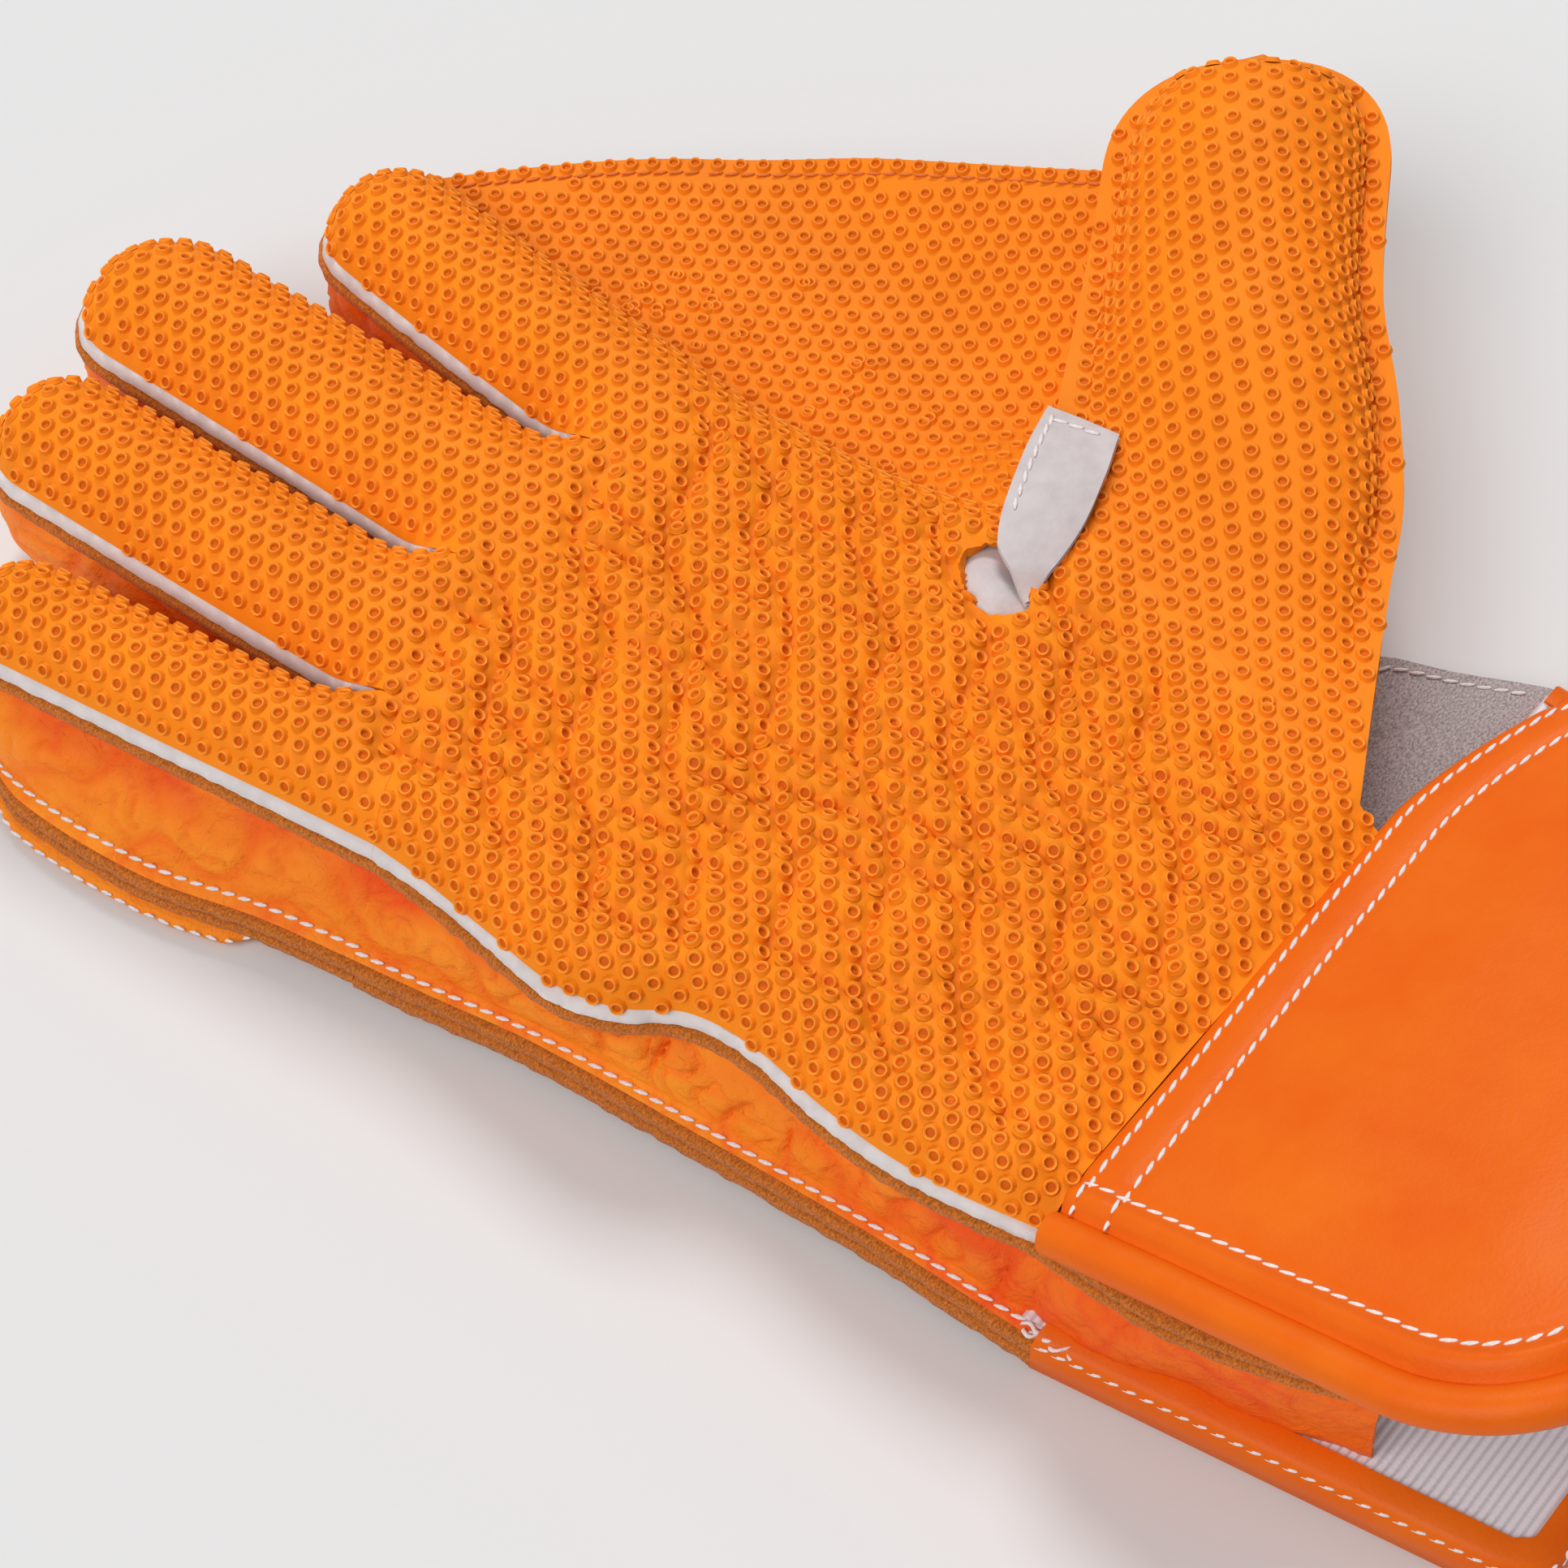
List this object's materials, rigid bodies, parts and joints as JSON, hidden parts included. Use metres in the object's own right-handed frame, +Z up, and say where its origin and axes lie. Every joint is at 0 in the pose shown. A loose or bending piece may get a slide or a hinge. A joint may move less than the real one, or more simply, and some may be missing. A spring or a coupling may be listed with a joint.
{
  "type": "wicket keeping glove",
  "caption": "Padded leather wicket keeping glove for the right hand: pimpled rubber palm and fingers, web from thumb to index finger, flared cuff flaps; fingers, thumb and cuff flaps bend.",
  "frame": {"origin": "on the flat underside of the back panel, below the middle of the palm, 75 mm from the wrist seam", "axes": "+Y along the hand to the fingertips, +X across the hand to the thumb side, +Z up out of the palm"},
  "size_m": [0.2558, 0.3558, 0.0675],
  "materials": {
    "rubber": "matte pimpled rubber",
    "leather": "smooth dyed leather",
    "white_leather": "soft white leather",
    "suede": "napped suede",
    "knit": "ribbed knit",
    "foam": "foam and cotton filling",
    "tip_guard": "moulded fingertip cup"
  },
  "bodies": {
    "palm": {"palm_facing": "rubber", "palm_padding": "foam", "palm_lining": "white_leather", "back_panel": "leather", "back_padding": "foam", "back_lining": "suede", "wrist_lining": "suede", "outer_gusset": "leather", "web_gusset": "leather", "loop_tab": "white_leather", "web_face_inner": "rubber", "web_backing_inner": "leather"},
    "little_finger": {"little_facing": "rubber", "little_padding": "foam", "little_lining": "white_leather", "little_gusset": "leather", "little_back_roll": "leather", "little_tip_guard": "tip_guard"},
    "ring_finger": {"ring_facing": "rubber", "ring_padding": "foam", "ring_lining": "white_leather", "ring_gusset": "leather", "ring_back_roll": "leather", "ring_tip_guard": "tip_guard"},
    "middle_finger": {"middle_facing": "rubber", "middle_padding": "foam", "middle_lining": "white_leather", "middle_gusset": "leather", "middle_back_roll": "leather", "middle_tip_guard": "tip_guard"},
    "index_finger": {"index_facing": "rubber", "index_padding": "foam", "index_lining": "white_leather", "index_gusset": "leather", "index_back_roll": "leather", "index_tip_guard": "tip_guard"},
    "thumb": {"thumb_facing": "rubber", "thumb_padding": "foam", "thumb_lining": "white_leather", "thumb_gusset": "leather", "thumb_back_roll": "leather", "thumb_tip_guard": "tip_guard", "web_face_outer": "rubber", "web_backing_outer": "leather"},
    "palm_cuff": {"palm_cuff_lining": "knit", "palm_cuff_padding": "foam", "palm_cuff_cover": "leather", "palm_cuff_binding": "leather"},
    "back_cuff": {"back_cuff_cover": "leather", "back_cuff_padding": "foam", "back_cuff_lining": "knit", "back_cuff_binding": "leather", "cuff_gusset": "leather"}
  },
  "joints": [
    {"name": "little_knuckle", "type": "hinge", "parent": "palm", "child": "little_finger", "pos_m": [-0.0555, 0.076, 0.0412], "axis": [0.9877, 0.1564, 0], "range_deg": [0, 70]},
    {"name": "ring_knuckle", "type": "hinge", "parent": "palm", "child": "ring_finger", "pos_m": [-0.0281, 0.086, 0.0412], "axis": [0.9986, 0.0523, 0], "range_deg": [0, 70]},
    {"name": "middle_knuckle", "type": "hinge", "parent": "palm", "child": "middle_finger", "pos_m": [0.0048, 0.087, 0.0412], "axis": [1, 0, 0], "range_deg": [0, 70]},
    {"name": "index_knuckle", "type": "hinge", "parent": "palm", "child": "index_finger", "pos_m": [0.0382, 0.085, 0.0412], "axis": [0.9962, -0.0872, 0], "range_deg": [0, 70]},
    {"name": "thumb_fold", "type": "hinge", "parent": "palm", "child": "thumb", "pos_m": [0.055, -0.075, 0.0412], "axis": [-0.2588, -0.9659, 0], "range_deg": [0, 45]},
    {"name": "palm_cuff_bend", "type": "hinge", "parent": "palm", "child": "palm_cuff", "pos_m": [0, -0.075, 0.0379], "axis": [-1, 0, 0], "range_deg": [0, 35]},
    {"name": "back_cuff_bend", "type": "hinge", "parent": "palm", "child": "back_cuff", "pos_m": [0, -0.075, 0], "axis": [1, 0, 0], "range_deg": [0, 30]}
  ]
}
